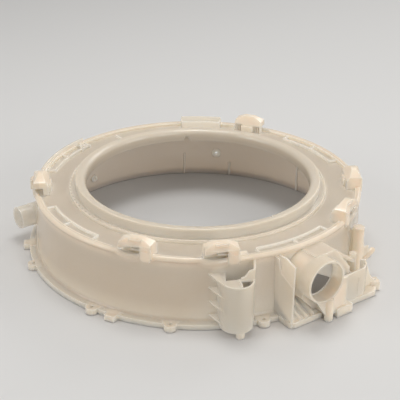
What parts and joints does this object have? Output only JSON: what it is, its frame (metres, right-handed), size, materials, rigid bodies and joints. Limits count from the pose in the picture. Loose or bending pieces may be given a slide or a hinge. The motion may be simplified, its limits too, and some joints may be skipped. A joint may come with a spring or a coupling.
{
  "type": "washing machine tub front half",
  "caption": "Moulded plastic front half of a washer's outer tub: round drum wall with door collar, joint flange with screw ears, sump housing and round port.",
  "frame": {"origin": "on the drum axis, in the joint plane where the front half meets the rear half of the tub", "axes": "+Z along the drum axis towards the door opening, -Y towards the sump and its port, +X to the right when the sump is towards the viewer"},
  "size_m": [0.5422, 0.5762, 0.1256],
  "materials": {
    "natural_polypropylene": "satin"
  },
  "bodies": {
    "root": {"tub_front_half": "natural_polypropylene"}
  },
  "joints": []
}
